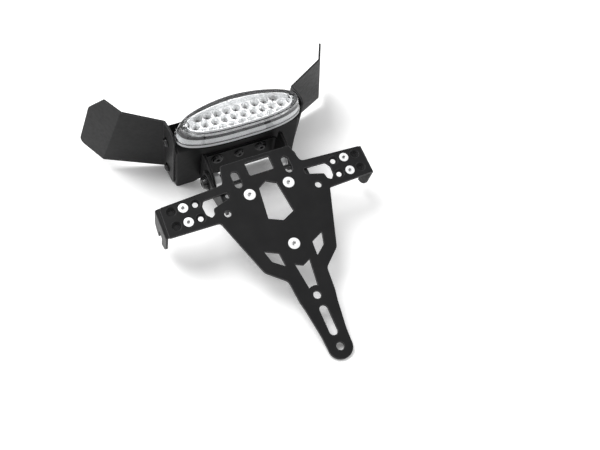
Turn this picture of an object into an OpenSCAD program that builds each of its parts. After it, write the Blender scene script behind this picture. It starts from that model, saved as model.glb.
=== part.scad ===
// Motorcycle tail tidy: a folding light bracket with two side wings, a ribbed
// oval lamp, and a number plate bracket on a clamped tilting hinge.
// Millimetres. X runs across the vehicle, -Y faces the rear, +Z is up.
// The rear face of the number plate bracket is the plane Y = 0 and its upper
// screw row is the line Z = 0. The part is symmetric about the plane X = 0.

/* [Number plate bracket] */
// Thickness of the flat bracket sheet
plate_t = 3; // [2:0.5:4]
// Overall width over the two arms
arm_span = 224; // [216:1:240]
// Height of the upper edge of the arms at the neck
arm_top = 18.6; // [16:0.1:22]
// Lower edge of the arms below the screw row
arm_low = 18.6; // [16:0.1:21]
// Half height between the two rows of arm holes
arm_row = 7.9; // [6:0.1:9]
// Distance from the centre plane to the middle column of arm holes
arm_col = 89; // [87:0.5:92]
// Pitch between the columns of arm holes
arm_pitch = 12.5; // [11:0.1:13]
// Width of the neck above the arms
neck_w = 79; // [74:0.5:84]
// Height of the neck above the screw row
neck_top = 39.2; // [36:0.1:44]
// Distance from the screw row down to the hole in the stem tip
tip_drop = 173.5; // [160:0.5:185]
// Radius of the round stem tip
tip_r = 12.5; // [10:0.1:15]
// Width of the long slot in the stem
stem_slot_w = 8.4; // [5:0.1:10]
// Radius of the hole in the stem and of the hole in its tip
stem_hole_r = 3.9; // [2.5:0.1:5]
// Width of the two upright slots in the neck
neck_slot_w = 7.8; // [5:0.1:8.5]

/* [Fasteners] */
// Head diameter of the three countersunk screws in the middle of the bracket
m6_head = 12; // [11:0.1:13]
// Distance from the centre plane to the two upper middle screws
m6_x = 21.5; // [20:0.1:23]
// Distance from the screw row down to the lower middle screw
m6_low = 63.4; // [60:0.1:66]
// Head diameter of the countersunk screws in the arms
m5_head = 9.9; // [9:0.1:11]

/* [Tilt hinge] */
// Distance of the hinge axis in front of the bracket's rear face
pivot_y = 37.5; // [35:0.5:40]
// Height of the hinge axis above the screw row
pivot_z = 42.5; // [41:0.5:44]
// Radius of the hinge bolts
pivot_r = 4; // [3:0.5:4.5]
// Half width over the outside of the fixed hinge ears
ear_x = 45.5; // [44:0.1:48]
// Thickness of the hinge sheets
ear_t = 3; // [2:0.5:3.5]
// Gap between the fixed and the tilting ears
ear_gap = 0.3; // [0.3:0.1:0.5]

/* [Light bracket] */
// Width of the flat base panel
base_w = 137.6; // [134:0.2:140]
// Length of the base panel along its sides
base_len = 66; // [62:1:70]
// Slope of the base panel, falling to the front
base_slope = 6.64; // [4:0.1:8]
// Thickness of the base panel sheet
base_t = 2.5; // [2:0.1:3]
// Outer radius of the bend up behind the lamp
base_bend = 9.9; // [8:0.1:11]

/* [Wings] */
// Thickness of the wing sheet
wing_t = 2.1; // [1.5:0.1:2.5]
// Distance from the centre plane to the outermost corner of a wing
wing_reach = 150.7; // [146:0.1:158]
// Height of the outermost corner of a wing
wing_top = 163; // [158:0.5:170]
// Distance of the front edge of a wing in front of the bracket's rear face
wing_front = 93; // [90:0.5:98]

/* [Indicator brackets] */
// Thickness of the indicator bracket sheet
ind_t = 2.5; // [2:0.1:3]
// Distance from the centre plane to the outer face of the indicator ear
ind_x = 115; // [114:0.5:118]
// Depth of the indicator ear in front of the bracket
ind_deep = 45; // [42:0.5:50]
// Width of the open slot for the indicator stem
ind_slot = 8.5; // [6:0.1:10]

/* [Lamp] */
// How far the lamp body reaches past its bracket on each side
lamp_over = 0.9; // [0:0.1:2]
// Half height of the lamp body
lamp_b = 21.2; // [20:0.1:23]
// How far the ends of the lamp slope inwards up to its front face
lamp_in = 5.5; // [3:0.1:7]
// Depth of the lamp from its back to its face
lamp_deep = 21.9; // [20:0.1:26]
// Upward tilt of the lamp's face
lamp_tilt = 5.1; // [3:0.1:7]

/* [Hidden] */
arm_x = arm_span / 2;
neck_x = neck_w / 2;
neck_slot_x = 28;
sheet_y = plate_t;
tilt_x = ear_x + ear_gap;
run_clear = 0.05;
base_y = 22;
base_z = 75.6;
side_x = base_w / 2;
side_out = side_x + base_t;
lamp_a = side_x + lamp_over;
lamp_face = lamp_a - lamp_in;
lamp_y = 4.1;
lamp_z = 83.6;
flange_angle = 90 - lamp_tilt + base_slope;
// Distance from the lamp's back to the flange that carries it
flange_at = on_slope(-1 - base_bend * sin(flange_angle), base_bend + base_bend * cos(flange_angle));
gasket_t = -(flange_at - [lamp_y, lamp_z]) * [-cos(lamp_tilt), sin(lamp_tilt)];
web_y0 = 17;
web_y1 = 54;
bolt_v = 24.5;
bolt_u = 25.6;
wing_bolts = [[base_y + 6.5, 96.5], [base_y + base_len * cos(base_slope) - 10.56, 91.5]];
lens_wall = 2;
face_up = 1.75;
face_down = 2.7;
board_z = 4;
cell_rows = [-9.4, -0.6, 8.2];
stud_x = 40;
stud_v = 9;
grommet_v = 10.2;
lamp_screw_x = lamp_face - 5.6;
cell_pitch = (lamp_screw_x - 10.9) / 4.5;
cell_r = 0.472 * cell_pitch;
black = [0.13, 0.13, 0.14];
zinc = [0.80, 0.81, 0.82];
chrome = [0.86, 0.87, 0.88];
$fn = 48;

// Points of an arc about c, from angle a0 to angle a1
function arc(c, r, a0, a1, n = 6) =
  [for (i = [0:n]) c + r * [cos(a0 + (a1 - a0) * i / n), sin(a0 + (a1 - a0) * i / n)]];

// A corner p between its neighbours a and b, softened over the length d
function soft(a, p, b, d, n = 4) =
  let (pa = p + d * (a - p) / norm(a - p), pb = p + d * (b - p) / norm(b - p))
  [for (i = [0:n]) let (s = i / n) pow(1 - s, 2) * pa + 2 * s * (1 - s) * p + pow(s, 2) * pb];

// A closed outline with every corner softened over the length d
function soft_all(pts, d, n = 4) =
  let (m = len(pts))
  [for (i = [0:m - 1]) each soft(pts[(i + m - 1) % m], pts[i], pts[(i + 1) % m], d, n)];

// Mirror the right half of an outline about X = 0 and close it
function both(pts) =
  concat(pts, [for (i = [len(pts) - 1:-1:0]) if (abs(pts[i].x) > 0.001) [-pts[i].x, pts[i].y]]);

// A superellipse with half sizes a and b, and its own power above and below
function oval(a, b, up = 2.25, down = 2.65, n = 64) =
  [for (i = [0:n - 1]) let (t = 360 * i / n, c = cos(t), s = sin(t), p = (s > 0) ? up : down)
    [a * sign(c) * pow(abs(c), 2 / p), b * sign(s) * pow(abs(s), 2 / p)]];

// A point along the base panel, v from its rear edge and w above its underside
function on_slope(v, w) =
  [base_y + v * cos(base_slope) + w * sin(base_slope),
   base_z - v * sin(base_slope) + w * cos(base_slope)];

function unit(v) = v / norm(v);
function across(v, e) = v - (v * e) * e;

// The corners of a face in the opposite order
function turned(f) = [for (i = [len(f) - 1:-1:0]) f[i]];

// Extrude an outline drawn in X and Z from y0 over the thickness t
module xz(y0, t) {
  translate([0, y0 + t, 0])
    rotate([90, 0, 0])
      linear_extrude(t)
        children();
}

// Extrude an outline drawn in Y and Z from x0 over the thickness t
module yz(x0, t) {
  translate([x0, 0, 0])
    rotate([90, 0, 90])
      linear_extrude(t)
        children();
}

// A cylinder along Y from y0, at x and z
module rod_y(x, z, y0, h, r) {
  translate([x, y0, z])
    rotate([-90, 0, 0])
      cylinder(r = r, h = h);
}

// A cylinder along X from x0, at y and z
module rod_x(y, z, x0, h, r) {
  translate([x0, y, z])
    rotate([0, 90, 0])
      cylinder(r = r, h = h);
}

// Both mirrored copies of a shape
module pair() {
  children();
  mirror([1, 0, 0])
    children();
}

// A folded strip seen on end: legs a and b, sheet t, outer bend radius r
module angle_profile(a, b, t, r) {
  polygon(concat([[a, 0], [a, t]], arc([r, r], r - t, 270, 180),
                 [[t, b], [0, b]], arc([r, r], r, 180, 270)));
}

// Section of a sharp fold with outer radius r, lapping both of its sheets
module fold_edge(r) {
  polygon(concat([[-0.5, 0], [-0.5, -r]], arc([0, 0], r, -90, 0), [[r, 0.5], [0, 0.5], [0, 0]]));
}

// Countersunk hole through the bracket, widening to the rear face
module csk_hole(x, z, rim, bore) {
  rod_y(x, z, -1, plate_t + 2, bore);
  translate([x, -0.01, z])
    rotate([-90, 0, 0])
      cylinder(r1 = rim, r2 = bore, h = rim - bore);
}

// Countersunk screw with a hexagon socket, its head flush at Y = 0
module csk_screw(x, z, head, shank, len) {
  difference() {
    union() {
      translate([x, 0, z])
        rotate([-90, 0, 0])
          cylinder(r1 = head, r2 = shank, h = head - shank);
      rod_y(x, z, 0.5, len - 0.5, shank);
    }
    translate([x, -1, z])
      rotate([-90, 0, 0])
        cylinder(r = shank * 0.77, h = 1 + shank * 0.75, $fn = 6);
    translate([x, -0.01, z])
      rotate([-90, 0, 0])
        cylinder(r1 = shank * 0.95, r2 = shank * 0.70, h = 0.5);
  }
}

// Button head screw along +Z, its head below Z = 0 and its shank above
module button_screw(shank, len, head, tall) {
  difference() {
    union() {
      cylinder(r = shank, h = len);
      translate([0, 0, -tall * 0.35])
        cylinder(r = head, h = tall * 0.35);
      translate([0, 0, -tall * 0.75])
        cylinder(r1 = head * 0.82, r2 = head, h = tall * 0.4);
      translate([0, 0, -tall])
        cylinder(r1 = head * 0.52, r2 = head * 0.82, h = tall * 0.25);
    }
    translate([0, 0, -tall - 1])
      cylinder(r = shank * 0.72, h = 1 + tall * 0.6, $fn = 6);
  }
}

// Hexagon nut along +Z with chamfered corners
module hex_nut(shank, flats, tall) {
  difference() {
    intersection() {
      cylinder(r = flats / 2 / cos(30), h = tall, $fn = 6);
      union() {
        cylinder(r = flats * 0.54, h = tall * 0.8);
        translate([0, 0, tall * 0.8])
          cylinder(r1 = flats * 0.585, r2 = flats * 0.5, h = tall * 0.2);
      }
    }
    translate([0, 0, -1])
      cylinder(r = shank, h = tall + 2);
  }
}

// Coordinates of the light bracket's sloping base panel
module on_base() {
  translate([0, base_y, base_z])
    rotate([-base_slope, 0, 0])
      children();
}

// Coordinates of the lamp: Z out of its face, Y up the face
module on_lamp() {
  translate([0, lamp_y, lamp_z])
    rotate([90 - lamp_tilt, 0, 0])
      children();
}

// Outline of the bracket: neck, arms, tapering body and long stem
module plate_outline() {
  right = concat(
    [[0, neck_top]],
    soft([0, neck_top], [neck_x - 0.8, neck_top], [neck_x + 2.6, arm_top + 6], 3),
    soft([neck_x, neck_top], [neck_x + 3.6, arm_top], [77, arm_top - 1.1], 4.5),
    soft([77, arm_top - 1.1], [arm_x - 1.2, arm_top - 3.5], [arm_x, 0], 2.5),
    soft([arm_x, 0], [arm_x, -arm_low + 0.9], [61, -arm_low - 0.4], 1.5),
    soft([arm_x, -arm_low + 0.9], [60.4, -arm_low - 0.4], [39.2, -81.6], 2.5),
    soft([60.4, -arm_low - 0.4], [39.2, -81.6], [21.2, -97.4], 2.5),
    soft([39.2, -81.6], [21.0, -97.6], [19.0, -121], 3),
    [[19.0, -121], [16.8, -132], [tip_r + 0.6, -tip_drop + 14]],
    arc([0, -tip_drop], tip_r, 5, -90, 12));
  polygon(both(right));
}

// The six-sided lightening opening, grown by g
module hexagon_cut(g = 0) {
  offset(delta = g)
    polygon(both([[0, 9.2], [9.8, 3.7], [13.8, -30.5], [0, -36.8]]));
}

module arm_cut() {
  pts = [[42, 9.5], [67.5, 8.6], [71, 3], [70.2, -6.5], [66, -11.2], [62, -8.5],
         [61.2, -2.6], [42, 3.2]];
  polygon(soft_all(pts, 1.4, 3));
}

module arrow_cut() {
  pts = concat([[8, -83.8], [0, -87.5], [-8, -83.8], [-4.6, -111.1]],
               arc([0, -119.8], 9.9, 116, 64, 6), [[4.6, -111.1]]);
  polygon(pts);
}

module diamond_cut() {
  polygon(soft_all([[31.6, -61.3], [18.2, -67.7], [17.1, -82.5], [28.1, -73.9]], 1.2, 3));
}

module number_plate_bracket() {
  color(black)
    difference() {
      xz(0, plate_t)
        difference() {
          plate_outline();
          hexagon_cut();
          arrow_cut();
          polygon(soft_all([[-13.4, 19.4], [13.4, 19.4], [13.4, 34.9], [-13.4, 34.9]], 2, 3));
          pair()
            arm_cut();
          pair()
            diamond_cut();
        }
      for (s = [-1, 1]) {
        for (z = [-arm_row, arm_row])
          for (c = [-1, 0, 1])
            csk_hole(s * (arm_col + c * arm_pitch), z, m5_head / 2 + 0.1, 2.75);
        csk_hole(s * m6_x, 0, m6_head / 2 + 0.1, 3.2);
        rod_y(s * 50, -12.3, -1, plate_t + 2, 3.5);
        upright_slot(s * neck_slot_x, 10, 29, neck_slot_w / 2);
      }
      csk_hole(0, -m6_low, m6_head / 2 + 0.1, 3.2);
      rod_y(0, -119.8, -1, plate_t + 2, stem_hole_r);
      rod_y(0, -tip_drop, -1, plate_t + 2, stem_hole_r);
      upright_slot(0, -162, -131, stem_slot_w / 2);
    }
}

// An upright slot with round ends, cut through the bracket
module upright_slot(x, z0, z1, r) {
  rod_y(x, z0 + r, -1, plate_t + 2, r);
  rod_y(x, z1 - r, -1, plate_t + 2, r);
  translate([x - r, -1, z0 + r])
    cube([2 * r, plate_t + 2, z1 - z0 - 2 * r]);
}

module plate_screws() {
  color(zinc)
    for (p = [[-m6_x, 0], [m6_x, 0], [0, -m6_low]])
      csk_screw(p.x, p.y, m6_head / 2, 3, plate_t + ear_t + 7);
}

module plate_nuts() {
  color(zinc)
    for (p = [[-m6_x, 0], [m6_x, 0], [0, -m6_low]])
      translate([p.x, sheet_y + ear_t, p.y])
        rotate([-90, 0, 0])
          hex_nut(3, 10, 5);
}

// Tilting hinge bracket: a flat face behind the number plate bracket with
// two ears folded forward to the hinge axis
module tilt_bracket() {
  in_x = tilt_x;
  out_x = tilt_x + ear_t;
  color(black)
    difference() {
      union() {
        xz(sheet_y, ear_t)
          difference() {
            polygon(both([[0, 20.5], [out_x - 5, 20.5], [out_x - 5, -8], [38, -20],
                          [12, -72.5], [9, -74]]));
            hexagon_cut(2.6);
            pair()
              polygon([[22, 8.5], [34, 8.5], [34, 17], [22, 17]]);
          }
        pair()
          translate([out_x, sheet_y, -8])
            mirror([1, 0, 0])
              linear_extrude(28.5)
                angle_profile(7, 12, ear_t, 4);
        pair()
          yz(in_x, ear_t)
            polygon([[sheet_y + 5, -8], [sheet_y + 5, 20.5], [10, 22], [20, 24.5],
                     [pivot_y - 12.7, pivot_z - 13], [pivot_y - 12.2, pivot_z],
                     [pivot_y, pivot_z + 3], [pivot_y + 10, pivot_z - 7], [33, 10], [12, -8]]);
        pair()
          rod_x(pivot_y, pivot_z, in_x, ear_t, 12.3);
      }
      for (s = [-1, 1]) {
        rod_y(s * m6_x, 0, sheet_y - 1, ear_t + 2, 3.2);
        rod_y(s * (out_x - 6.6), 6.9, sheet_y - 1, ear_t + 2, 2.5);
      }
      rod_y(0, -m6_low, sheet_y - 1, ear_t + 2, 3.2);
      rod_x(pivot_y, pivot_z, -out_x - 1, 2 * out_x + 2, pivot_r + run_clear);
    }
}

// Fixed hinge bracket: a web bolted under the base panel with two ears
module hinge_bracket() {
  in_x = ear_x - ear_t;
  color(black)
    difference() {
      intersection() {
        on_base()
          translate([0, 80, 0])
            rotate([90, 0, 0])
              linear_extrude(120)
                hinge_u(in_x);
        yz(-ear_x - 1, 2 * ear_x + 2)
          hinge_side();
      }
      on_base() {
        for (s = [-1, 1])
          translate([s * bolt_u, bolt_v, -ear_t - 1])
            cylinder(r = 3.2, h = ear_t + 2);
        translate([0, bolt_v + 1.3, -ear_t - 1])
          cylinder(r = 2.7, h = ear_t + 2);
      }
      rod_x(pivot_y, pivot_z, -ear_x - 1, 2 * ear_x + 2, pivot_r + run_clear);
    }
}

// Section of the fixed hinge bracket across its web, legs downward
module hinge_u(in_x) {
  r = 6;
  m = ear_x - r;
  polygon(concat(arc([m, -r], r, 90, 0), [[ear_x, -60], [in_x, -60]],
                 arc([m, -r], r - ear_t, 0, 90), arc([-m, -r], r - ear_t, 90, 180),
                 [[-in_x, -60], [-ear_x, -60]], arc([-m, -r], r, 180, 90)));
}

// Side view of the fixed hinge bracket in Y and Z: its web and one ear
module hinge_side() {
  polygon(concat([on_slope(web_y1, 1), on_slope(web_y0, 1), on_slope(web_y0, -6.5)],
                 arc([23.5, 62.5], 5.5, 90, 180),
                 [[18.3, 52], [19.1, 46.5], [20.6, 42], [23.4, 36.9], [26, 33.6], [29.2, 31.2],
                  [33.2, 29.6]],
                 arc([pivot_y, pivot_z], 13.5, 270, 330), [[72, 58]],
                 [on_slope(web_y1, -9)]));
}

// One hinge bolt at +X, its head outside the tilting ear
module pivot_bolt() {
  rot_x = tilt_x + ear_t + 1.3;
  translate([rot_x, pivot_y, pivot_z])
    rotate([0, -90, 0])
      button_screw(pivot_r, rot_x - ear_x + ear_t + 10.5, 7.2, 4.4);
}

module left_pivot_bolt() {
  color(black)
    mirror([1, 0, 0])
      pivot_bolt();
}

module right_pivot_bolt() {
  color(black)
    pivot_bolt();
}

module washer_x(x0, t) {
  difference() {
    rod_x(pivot_y, pivot_z, x0, t, 8.5);
    rod_x(pivot_y, pivot_z, x0 - 1, t + 2, pivot_r + 0.3);
  }
}

// Thin running washers between the bolt heads and the tilting ears
module pivot_spacers() {
  color(black)
    pair()
      washer_x(tilt_x + ear_t + 0.05, 1.2);
}

module pivot_washers() {
  color(zinc)
    pair()
      washer_x(ear_x - ear_t - 1.5, 1.5);
}

module pivot_nuts() {
  color(zinc)
    pair()
      translate([ear_x - ear_t - 1.5, pivot_y, pivot_z])
        rotate([0, -90, 0])
          hex_nut(pivot_r, 13, 6.8);
}

// Flanged button screws that go up through the web and the base panel
module tail_bolts() {
  color(black)
    on_base()
      for (s = [-1, 1])
        translate([s * bolt_u, bolt_v, -ear_t]) {
          button_screw(3, ear_t + base_t + 0.1, 6.8, 3.3);
          cylinder(r = 2.65, h = ear_t + base_t + 14.1);
        }
}

// Small screw that holds the web against the base panel by itself
module centre_screw() {
  color(black)
    on_base()
      translate([0, bolt_v + 1.3, -ear_t])
        button_screw(2.5, ear_t + base_t - 0.3, 5.6, 2.8);
}

// Indicator bracket at +X: flat foot behind the arm and a round slotted ear
module indicator_bracket() {
  ear_r = 16;
  foot = ind_x - 82;
  difference() {
    intersection() {
      translate([ind_x, sheet_y, -20])
        mirror([1, 0, 0])
          linear_extrude(40)
            angle_profile(foot, ind_deep - sheet_y, ind_t, ind_t + 1);
      union() {
        translate([0, 0, -ear_r])
          cube([ind_x + 5, ind_deep - ear_r, 2 * ear_r]);
        rod_x(ind_deep - ear_r, 0, ind_x - 20, 30, ear_r);
      }
    }
    for (z = [-arm_row, arm_row])
      rod_y(arm_col, z, sheet_y - 1, ind_t + 2, 2.75);
    rod_x(ind_deep - ear_r + 2, 0, ind_x - 10, 20, ind_slot / 2);
    translate([ind_x - 10, ind_deep - ear_r + 2, -ind_slot / 2])
      cube([20, 30, ind_slot]);
  }
}

module left_indicator_bracket() {
  color(black)
    mirror([1, 0, 0])
      indicator_bracket();
}

module right_indicator_bracket() {
  color(black)
    indicator_bracket();
}

module arm_screws(s) {
  for (z = [-arm_row, arm_row])
    csk_screw(s * arm_col, z, m5_head / 2, 2.5, plate_t + ind_t + 6);
}

module arm_nuts(s) {
  for (z = [-arm_row, arm_row])
    translate([s * arm_col, sheet_y + ind_t, z])
      rotate([-90, 0, 0])
        hex_nut(2.5, 8, 4.7);
}

module left_indicator_screws() {
  color(zinc)
    arm_screws(-1);
}

module right_indicator_screws() {
  color(zinc)
    arm_screws(1);
}

module left_indicator_nuts() {
  color(zinc)
    arm_nuts(-1);
}

module right_indicator_nuts() {
  color(zinc)
    arm_nuts(1);
}

// Section of the base panel and the flange behind the lamp, in Y and Z
module base_section() {
  n = 8;
  a0 = 270;
  a1 = 90 + flange_angle;
  dir = [cos(flange_angle), sin(flange_angle)];
  c = [-1, base_bend];
  up = 21;
  polygon(concat([[base_len - 12, 0], [base_len - 12, base_t]],
                 arc(c, base_bend - base_t, a0, a1, n),
                 [c + (base_bend - base_t) * [cos(a1), sin(a1)] + up * dir,
                  c + base_bend * [cos(a1), sin(a1)] + up * dir],
                 arc(c, base_bend, a1, a0, n)));
}

module light_bracket() {
  color(black)
    difference() {
      union() {
        // Base panel with the flange bent up behind the lamp
        on_base()
          intersection() {
            translate([-side_x, 0, 0])
              rotate([90, 0, 90])
                linear_extrude(base_w)
                  base_section();
            translate([-side_x, -14, -2])
              cube([base_w, base_len + 2, 40]);
          }
        // Front edge of the base panel, cut back in the middle
        on_base()
          linear_extrude(base_t)
            polygon(both([[0, base_len - 13], [side_x, base_len - 13], [side_x, base_len],
                          [side_x, base_len + 2.4], [side_x - 1.6, base_len + 4.2],
                          [62.8, 68.3], [55.7, 64.8], [49.8, 61.2], [43.9, 58.8],
                          [0, 58.6]]));
        // Side flanges with their folds
        pair() {
          on_base() {
            translate([side_x, base_len, base_t])
              rotate([90, 0, 0])
                linear_extrude(base_len + 1)
                  fold_edge(base_t);
          }
          yz(side_x, base_t)
            side_flange();
        }
      }
      // Lamp flange ends, trimmed inside the lamp's outline
      on_lamp()
        translate([0, 0, -40])
          linear_extrude(38)
            difference() {
              translate([-side_x + 0.01, 4])
                square([base_w - 0.02, 60]);
              polygon(oval(lamp_a - 6, lamp_b - 3.5));
            }
      on_base() {
        for (s = [-1, 1])
          translate([s * bolt_u, bolt_v, -1])
            cylinder(r = 3.2, h = base_t + 2);
        translate([0, bolt_v + 1.3, -1])
          cylinder(r = 2.55, h = base_t + 2);
      }
      on_lamp() {
        for (x = [-stud_x, stud_x])
          translate([x, stud_v, -30])
            cylinder(r = 2.7, h = 30);
        translate([0, grommet_v, -30])
          cylinder(r = 5, h = 30);
      }
      for (p = wing_bolts)
        rod_x(p.x, p.y, -side_out - 1, 2 * side_out + 2, 3.2);
    }
}

// Outline of a light bracket side flange in Y and Z
module side_flange() {
  t = base_t / cos(base_slope);
  s = tan(base_slope);
  y1 = base_y + base_len * cos(base_slope);
  bend = arc([-1, base_bend], base_bend - base_t / 2, 270, 90 + flange_angle);
  polygon(concat([on_slope(-1, base_t)], [for (p = bend) on_slope(p.x, p.y)],
                 [[15, 99], [19, 103], [y1 - 4, 99], [y1, 95],
                  [y1, base_z + t - (y1 - base_y) * s]]));
}

// Wing at +X: a bolted flange, a rising main panel and an end panel, folded
// along two skewed lines. One closed skin follows both faces of the sheet.
// k1, k2 end the inner line of the first fold and g1, g2 that of the second.
module wing() {
  t = wing_t;
  n = 5;
  x_out = side_out + t;
  k1 = [x_out, 3.5, 106.3];
  k2 = [x_out, wing_front - 0.8, 102.3];
  f1 = [111.8, -5.6, 123.6];
  f2 = [wing_reach - 16.3, wing_front - 2.8, 129];
  c1 = [122.4, -2.6, 146.5];
  c2 = [135.2, 26.5, wing_top - 2.3];
  c3 = [wing_reach, wing_front, wing_top];
  ex = unit(k2 - k1);
  ey = unit(across(f1 - k1, ex));
  ez = cross(ex, ey);
  f3 = f2 - ((f2 - k1) * ez) * ez;
  g1 = f1 - t * ez;
  g2 = f3 - t * ez;
  cx = unit(g2 - g1);
  cy = unit(across(c2 - g1, cx));
  cz = cross(cx, cy);
  // End panel corners in its own plane
  q1 = [(c1 - g1) * cx, (c1 - g1) * cy];
  q2 = [(c2 - g1) * cx, (c2 - g1) * cy];
  q3 = [(c3 - g1) * cx, (c3 - g1) * cy];
  q4 = [norm(g2 - g1), 0];
  tip = concat(soft([0, 0], q1, q2, 1.5), soft(q1, q2, q3, 3), soft(q2, q3, q4, 9, 6));
  // Flange outline in Y and Z, from the rear end of the fold to its front end
  rim = concat([[-1, 98]], soft([-1, 98], [-5.8, 86.5], [-3.5, 79.5], 2),
               soft([-5.8, 86.5], [-3.5, 79.5], [6, 78.1], 2), [[6, 78.1]],
               soft([6, 78.1], [wing_front - 11, 74.5], [wing_front - 4.5, 79.5], 3),
               [[wing_front - 4.5, 79.5]],
               soft([wing_front - 4.5, 79.5], [wing_front + 2, 91], [k2.y, k2.z], 3));
  fold_a = atan2([-1, 0, 0] * ez, [-1, 0, 0] * ey);
  fold_c = atan2(ez * cz, ez * cy);
  arc_a = [for (i = [0:n]) let (a = fold_a + (-90 - fold_a) * i / n) t * (cos(a) * ey + sin(a) * ez)];
  arc_c = [for (i = [0:n]) let (a = fold_c + (90 - fold_c) * i / n) t * (cos(a) * cy + sin(a) * cz)];
  na = len(rim);
  nc = len(tip);
  pts = concat([k1, k2, g1, g2],
               [for (p = rim) [x_out, p.x, p.y]], [for (p = rim) [side_out, p.x, p.y]],
               [for (v = arc_a) k1 + v], [for (v = arc_a) k2 + v],
               [for (v = arc_c) g1 + v], [for (v = arc_c) g2 + v],
               [for (p = tip) g1 + p.x * cx + p.y * cy + t * cz],
               [for (p = tip) g1 + p.x * cx + p.y * cy]);
  // First index of each group of points
  a0 = 4;
  a1 = a0 + na;
  u1 = a1 + na;
  u2 = u1 + n + 1;
  v1 = u2 + n + 1;
  v2 = v1 + n + 1;
  c0 = v2 + n + 1;
  cc = c0 + nc;
  faces = concat(
    // Outer side of the flange, main panel, fold and end panel
    [concat([0], [for (i = [0:na - 1]) a0 + i], [1])],
    [[0, 1, v2, v1]],
    [for (j = [0:n - 1]) [v1 + j, v2 + j, v2 + j + 1, v1 + j + 1]],
    [concat([v1 + n, v2 + n], [for (i = [nc - 1:-1:0]) c0 + i])],
    // Inner side
    [concat([u2], [for (i = [na - 1:-1:0]) a1 + i], [u1])],
    [for (j = [0:n - 1]) [u2 + j, u1 + j, u1 + j + 1, u2 + j + 1]],
    [[u2 + n, u1 + n, 2, 3]],
    [concat([3, 2], [for (i = [0:nc - 1]) cc + i])],
    // Cut edges of the sheet
    [[a0, 0, u1, a1]],
    [for (i = [0:na - 2]) [a0 + i + 1, a0 + i, a1 + i, a1 + i + 1]],
    [[1, a0 + na - 1, a1 + na - 1, u2]],
    [concat([0], [for (i = [n:-1:0]) u1 + i])],
    [concat([1], [for (i = [0:n]) u2 + i])],
    [[0, v1, 2, u1 + n]],
    [[v2, 1, u2 + n, 3]],
    [concat([2], [for (i = [0:n]) v1 + i])],
    [concat([3], [for (i = [n:-1:0]) v2 + i])],
    [[v1 + n, c0, cc, 2]],
    [for (i = [0:nc - 2]) [c0 + i, c0 + i + 1, cc + i + 1, cc + i]],
    [[c0 + nc - 1, v2 + n, 3, cc + nc - 1]]);
  difference() {
    polyhedron(pts, [for (f = faces) turned(f)]);
    for (p = wing_bolts)
      rod_x(p.x, p.y, side_out - 1, wing_t + 2, 3.2);
  }
}

module left_wing() {
  color(black)
    mirror([1, 0, 0])
      wing();
}

module right_wing() {
  color(black)
    wing();
}

module wing_bolt_set() {
  for (p = wing_bolts)
    translate([side_out + wing_t, p.x, p.y])
      rotate([0, -90, 0])
        button_screw(3, wing_t + base_t + 7, 5.3, 3.3);
}

module wing_nut_set() {
  for (p = wing_bolts)
    translate([side_x, p.x, p.y])
      rotate([0, -90, 0])
        hex_nut(3, 10, 5);
}

module left_wing_bolts() {
  color(black)
    mirror([1, 0, 0])
      wing_bolt_set();
}

module right_wing_bolts() {
  color(black)
    wing_bolt_set();
}

module left_wing_nuts() {
  color(zinc)
    mirror([1, 0, 0])
      wing_nut_set();
}

module right_wing_nuts() {
  color(zinc)
    wing_nut_set();
}

// Skin a stack of rings that have the same number of points
module skin(rings) {
  n = len(rings[0]);
  m = len(rings);
  pts = [for (r = rings) each r];
  sides = [for (j = [0:m - 2]) for (i = [0:n - 1])
    [j * n + i, j * n + (i + 1) % n, (j + 1) * n + (i + 1) % n, (j + 1) * n + i]];
  low = [[for (i = [n - 1:-1:0]) i]];
  high = [[for (i = [0:n - 1]) (m - 1) * n + i]];
  polyhedron(pts, [for (f = concat(sides, low, high)) turned(f)]);
}

function ring(a, b, z, up = 2.25, down = 2.65) = [for (p = oval(a, b, up, down)) [p.x, p.y, z]];

module lamp_gasket() {
  color([0.08, 0.08, 0.08])
    on_lamp()
      translate([0, 0, -gasket_t])
        linear_extrude(gasket_t)
          difference() {
            polygon(oval(lamp_a - 4, lamp_b - 3));
            polygon(oval(30, 8));
            translate([0, grommet_v])
              circle(r = 5.2);
            for (x = [-stud_x, stud_x])
              translate([x, stud_v])
                circle(r = 2.7);
          }
}

module lamp_housing() {
  color([0.72, 0.73, 0.75])
    on_lamp()
      difference() {
        linear_extrude(board_z)
          polygon(oval(lamp_a, lamp_b));
        translate([0, 0, board_z - 1.6])
          linear_extrude(3)
            polygon(oval(lamp_a - 14, lamp_b - 4.5));
        for (x = [-stud_x, stud_x])
          translate([x, stud_v, -1])
            cylinder(r = 2.6, h = 2.4);
        for (x = [-lamp_screw_x, lamp_screw_x])
          translate([x, 0, 1])
            cylinder(r = 1.5, h = 6);
        translate([0, grommet_v, -1])
          cylinder(r = 3, h = 8);
      }
}

module lamp_circuit_board() {
  color([0.10, 0.32, 0.16])
    on_lamp()
      translate([0, 0, board_z - 1.6])
        linear_extrude(1.6)
          polygon(oval(lamp_a - 14.3, lamp_b - 4.8));
}

// Centres of the reflector cells, in staggered rows
function cells() =
  [for (r = [0:2]) let (m = (r == 1) ? 10 : 9)
    for (i = [0:m - 1]) [(i - (m - 1) / 2) * cell_pitch, cell_rows[r]]];

module lamp_leds() {
  color([0.9, 0.85, 0.8])
    on_lamp()
      for (p = cells())
        translate([p.x, p.y, board_z]) {
          cylinder(r = 2.2, h = 4, $fn = 16);
          translate([0, 0, 4])
            cylinder(r1 = 2.2, r2 = 1.0, h = 1.6, $fn = 16);
        }
}

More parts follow.
